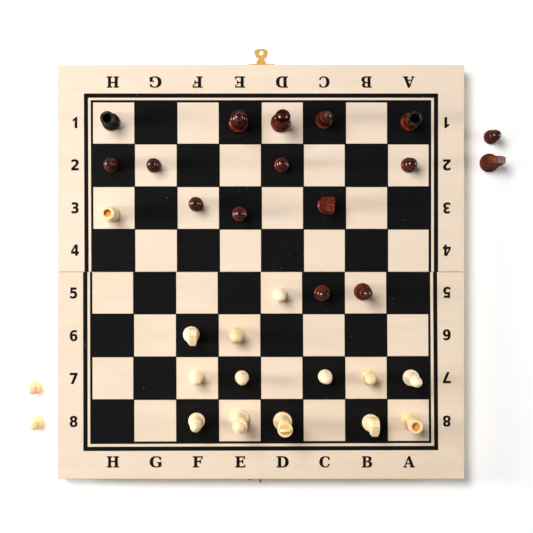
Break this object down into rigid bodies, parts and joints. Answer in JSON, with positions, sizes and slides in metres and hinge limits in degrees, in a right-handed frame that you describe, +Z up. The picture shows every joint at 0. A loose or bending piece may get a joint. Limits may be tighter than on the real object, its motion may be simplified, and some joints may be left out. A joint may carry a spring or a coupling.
{
  "type": "folding chess set with board",
  "caption": "Folding wooden chess board box opened flat, with printed squares, lettered border, butt hinges, swing clasp, and turned dark and light chess pieces set out in a game.",
  "frame": {"origin": "on the table, under the middle of the fold line between the two opened leaves", "axes": "+Z up from the table through the playing surface; +X along the fold towards file A; +Y from the fold towards row 1 and the clasp"},
  "size_m": [0.3425, 0.3139, 0.0709],
  "materials": {
    "printed_plywood": "satin clear lacquer over pale plywood, with matt black screen-printed squares and border",
    "bare_wood": "sanded pale wood, thin clear lacquer",
    "brass": "bright stamped brass",
    "dark_stained_wood": "glossy dark reddish-brown stain",
    "light_boxwood": "satin natural pale wood, waxed"
  },
  "bodies": {
    "near_leaf": {"near_panel": "printed_plywood", "near_rail_fold": "bare_wood", "near_rail_outer": "bare_wood", "near_rail_left": "bare_wood", "near_rail_right": "bare_wood", "hinge_left_leaf_near": "brass", "hinge_right_leaf_near": "brass", "hinge_screws_near": "brass", "catch_plate": "brass", "catch_stud": "brass", "catch_screws": "brass"},
    "far_leaf": {"far_panel": "printed_plywood", "far_rail_fold": "bare_wood", "far_rail_outer": "bare_wood", "far_rail_left": "bare_wood", "far_rail_right": "bare_wood", "hinge_left_leaf_far": "brass", "hinge_right_leaf_far": "brass", "hinge_left_pin": "brass", "hinge_right_pin": "brass", "hinge_screws_far": "brass", "clasp_plate": "brass", "clasp_pin": "brass", "clasp_screws": "brass"},
    "clasp_flap": {"clasp_flap": "brass"},
    "dark_rook_h1": {"dark_rook_h1": "dark_stained_wood"},
    "dark_queen_e1": {"dark_queen_e1": "dark_stained_wood"},
    "dark_king_d1": {"dark_king_d1": "dark_stained_wood"},
    "dark_bishop_c1": {"dark_bishop_c1": "dark_stained_wood"},
    "dark_rook_a1": {"dark_rook_a1": "dark_stained_wood"},
    "dark_pawn_h2": {"dark_pawn_h2": "dark_stained_wood"},
    "dark_pawn_g2": {"dark_pawn_g2": "dark_stained_wood"},
    "dark_pawn_d2": {"dark_pawn_d2": "dark_stained_wood"},
    "dark_pawn_a2": {"dark_pawn_a2": "dark_stained_wood"},
    "dark_pawn_f3": {"dark_pawn_f3": "dark_stained_wood"},
    "dark_pawn_e3": {"dark_pawn_e3": "dark_stained_wood"},
    "dark_pawn_c5": {"dark_pawn_c5": "dark_stained_wood"},
    "dark_knight_c3": {"dark_knight_c3": "dark_stained_wood"},
    "dark_bishop_b5": {"dark_bishop_b5": "dark_stained_wood"},
    "dark_pawn_captured": {"dark_pawn_captured": "dark_stained_wood"},
    "dark_knight_captured": {"dark_knight_captured": "dark_stained_wood"},
    "light_rook_h3": {"light_rook_h3": "light_boxwood"},
    "light_rook_a8": {"light_rook_a8": "light_boxwood"},
    "light_knight_f6": {"light_knight_f6": "light_boxwood"},
    "light_knight_b8": {"light_knight_b8": "light_boxwood"},
    "light_bishop_f8": {"light_bishop_f8": "light_boxwood"},
    "light_bishop_a7": {"light_bishop_a7": "light_boxwood"},
    "light_queen_e8": {"light_queen_e8": "light_boxwood"},
    "light_king_d8": {"light_king_d8": "light_boxwood"},
    "light_pawn_d5": {"light_pawn_d5": "light_boxwood"},
    "light_pawn_e6": {"light_pawn_e6": "light_boxwood"},
    "light_pawn_f7": {"light_pawn_f7": "light_boxwood"},
    "light_pawn_e7": {"light_pawn_e7": "light_boxwood"},
    "light_pawn_c7": {"light_pawn_c7": "light_boxwood"},
    "light_pawn_b7": {"light_pawn_b7": "light_boxwood"},
    "light_pawn_captured_1": {"light_pawn_captured_1": "light_boxwood"},
    "light_pawn_captured_2": {"light_pawn_captured_2": "light_boxwood"}
  },
  "joints": [
    {"name": "board_fold", "type": "hinge", "parent": "near_leaf", "child": "far_leaf", "pos_m": [0, 0, 0.0011], "axis": [-1, 0, 0], "range_deg": [0, 180]},
    {"name": "clasp_swing", "type": "hinge", "parent": "far_leaf", "child": "clasp_flap", "pos_m": [0, 0.1493, 0.0028], "axis": [1, 0, 0], "range_deg": [-79.1, 95]},
    {"name": "lift_dark_rook_h1", "type": "slide", "parent": "far_leaf", "child": "dark_rook_h1", "axis": [0, 0, 1], "range_m": [0, 0.08]},
    {"name": "lift_dark_queen_e1", "type": "slide", "parent": "far_leaf", "child": "dark_queen_e1", "axis": [0, 0, 1], "range_m": [0, 0.08]},
    {"name": "lift_dark_king_d1", "type": "slide", "parent": "far_leaf", "child": "dark_king_d1", "axis": [0, 0, 1], "range_m": [0, 0.08]},
    {"name": "lift_dark_bishop_c1", "type": "slide", "parent": "far_leaf", "child": "dark_bishop_c1", "axis": [0, 0, 1], "range_m": [0, 0.08]},
    {"name": "lift_dark_rook_a1", "type": "slide", "parent": "far_leaf", "child": "dark_rook_a1", "axis": [0, 0, 1], "range_m": [0, 0.08]},
    {"name": "lift_dark_pawn_h2", "type": "slide", "parent": "far_leaf", "child": "dark_pawn_h2", "axis": [0, 0, 1], "range_m": [0, 0.08]},
    {"name": "lift_dark_pawn_g2", "type": "slide", "parent": "far_leaf", "child": "dark_pawn_g2", "axis": [0, 0, 1], "range_m": [0, 0.08]},
    {"name": "lift_dark_pawn_d2", "type": "slide", "parent": "far_leaf", "child": "dark_pawn_d2", "axis": [0, 0, 1], "range_m": [0, 0.08]},
    {"name": "lift_dark_pawn_a2", "type": "slide", "parent": "far_leaf", "child": "dark_pawn_a2", "axis": [0, 0, 1], "range_m": [0, 0.08]},
    {"name": "lift_dark_pawn_f3", "type": "slide", "parent": "far_leaf", "child": "dark_pawn_f3", "axis": [0, 0, 1], "range_m": [0, 0.08]},
    {"name": "lift_dark_pawn_e3", "type": "slide", "parent": "far_leaf", "child": "dark_pawn_e3", "axis": [0, 0, 1], "range_m": [0, 0.08]},
    {"name": "lift_dark_pawn_c5", "type": "slide", "parent": "near_leaf", "child": "dark_pawn_c5", "axis": [0, 0, 1], "range_m": [0, 0.08]},
    {"name": "lift_dark_knight_c3", "type": "slide", "parent": "far_leaf", "child": "dark_knight_c3", "axis": [0, 0, 1], "range_m": [0, 0.08]},
    {"name": "lift_dark_bishop_b5", "type": "slide", "parent": "near_leaf", "child": "dark_bishop_b5", "axis": [0, 0, 1], "range_m": [0, 0.08]},
    {"name": "lift_dark_pawn_captured", "type": "slide", "parent": "near_leaf", "child": "dark_pawn_captured", "axis": [0, 0, 1], "range_m": [0, 0.08]},
    {"name": "lift_dark_knight_captured", "type": "slide", "parent": "near_leaf", "child": "dark_knight_captured", "axis": [0, 0, 1], "range_m": [0, 0.08]},
    {"name": "lift_light_rook_h3", "type": "slide", "parent": "far_leaf", "child": "light_rook_h3", "axis": [0, 0, 1], "range_m": [0, 0.08]},
    {"name": "lift_light_rook_a8", "type": "slide", "parent": "near_leaf", "child": "light_rook_a8", "axis": [0, 0, 1], "range_m": [0, 0.08]},
    {"name": "lift_light_knight_f6", "type": "slide", "parent": "near_leaf", "child": "light_knight_f6", "axis": [0, 0, 1], "range_m": [0, 0.08]},
    {"name": "lift_light_knight_b8", "type": "slide", "parent": "near_leaf", "child": "light_knight_b8", "axis": [0, 0, 1], "range_m": [0, 0.08]},
    {"name": "lift_light_bishop_f8", "type": "slide", "parent": "near_leaf", "child": "light_bishop_f8", "axis": [0, 0, 1], "range_m": [0, 0.08]},
    {"name": "lift_light_bishop_a7", "type": "slide", "parent": "near_leaf", "child": "light_bishop_a7", "axis": [0, 0, 1], "range_m": [0, 0.08]},
    {"name": "lift_light_queen_e8", "type": "slide", "parent": "near_leaf", "child": "light_queen_e8", "axis": [0, 0, 1], "range_m": [0, 0.08]},
    {"name": "lift_light_king_d8", "type": "slide", "parent": "near_leaf", "child": "light_king_d8", "axis": [0, 0, 1], "range_m": [0, 0.08]},
    {"name": "lift_light_pawn_d5", "type": "slide", "parent": "near_leaf", "child": "light_pawn_d5", "axis": [0, 0, 1], "range_m": [0, 0.08]},
    {"name": "lift_light_pawn_e6", "type": "slide", "parent": "near_leaf", "child": "light_pawn_e6", "axis": [0, 0, 1], "range_m": [0, 0.08]},
    {"name": "lift_light_pawn_f7", "type": "slide", "parent": "near_leaf", "child": "light_pawn_f7", "axis": [0, 0, 1], "range_m": [0, 0.08]},
    {"name": "lift_light_pawn_e7", "type": "slide", "parent": "near_leaf", "child": "light_pawn_e7", "axis": [0, 0, 1], "range_m": [0, 0.08]},
    {"name": "lift_light_pawn_c7", "type": "slide", "parent": "near_leaf", "child": "light_pawn_c7", "axis": [0, 0, 1], "range_m": [0, 0.08]},
    {"name": "lift_light_pawn_b7", "type": "slide", "parent": "near_leaf", "child": "light_pawn_b7", "axis": [0, 0, 1], "range_m": [0, 0.08]},
    {"name": "lift_light_pawn_captured_1", "type": "slide", "parent": "near_leaf", "child": "light_pawn_captured_1", "axis": [0, 0, 1], "range_m": [0, 0.08]},
    {"name": "lift_light_pawn_captured_2", "type": "slide", "parent": "near_leaf", "child": "light_pawn_captured_2", "axis": [0, 0, 1], "range_m": [0, 0.08]}
  ]
}
